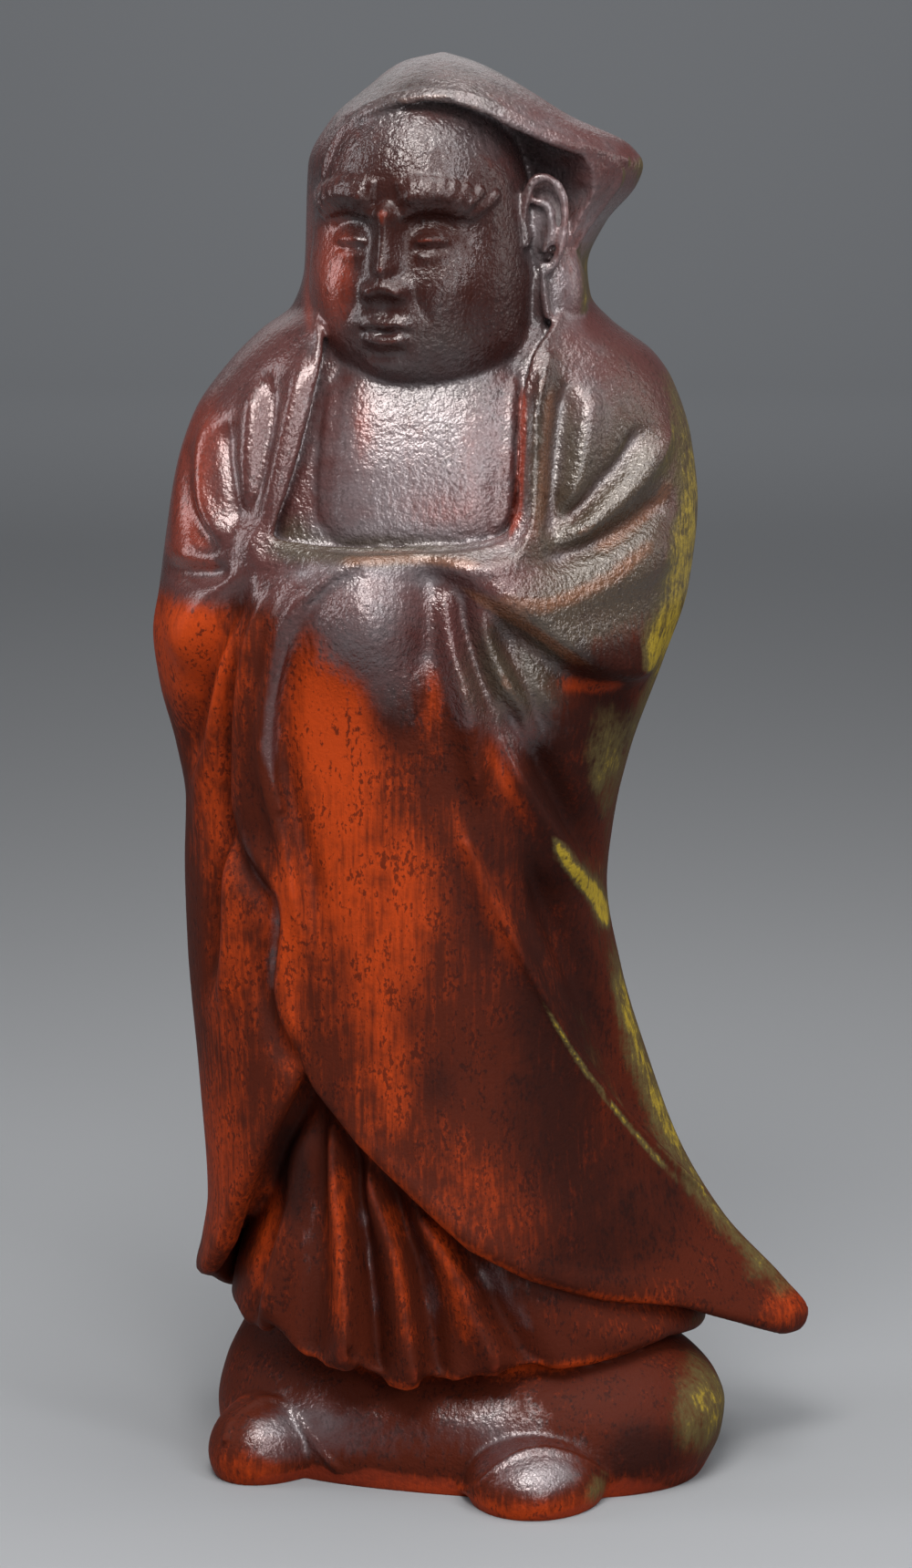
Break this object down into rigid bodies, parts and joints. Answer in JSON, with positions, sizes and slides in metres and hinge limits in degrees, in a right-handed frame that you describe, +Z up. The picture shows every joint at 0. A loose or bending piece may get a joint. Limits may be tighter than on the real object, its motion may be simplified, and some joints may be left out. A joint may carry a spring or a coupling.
{
  "type": "standing bodhidharma statue",
  "caption": "Standing monk in a hooded cloak with the hands gathered under the cloth, on a mound-shaped foot, one solid fired piece with a flat underside.",
  "frame": {"origin": "centre of the bounding box's footprint, on the flat underside", "axes": "+Z up along the figure's height, -Y out of its front, +X towards the viewer's right as seen from the front"},
  "size_m": [0.1398, 0.0938, 0.3],
  "materials": {
    "fired_clay": "unglazed iron-rich stoneware, wood-fired to a glossy red-brown skin with purple-grey flashing and yellow ash"
  },
  "bodies": {
    "root": {"bodhidharma_statue": "fired_clay"}
  },
  "joints": []
}
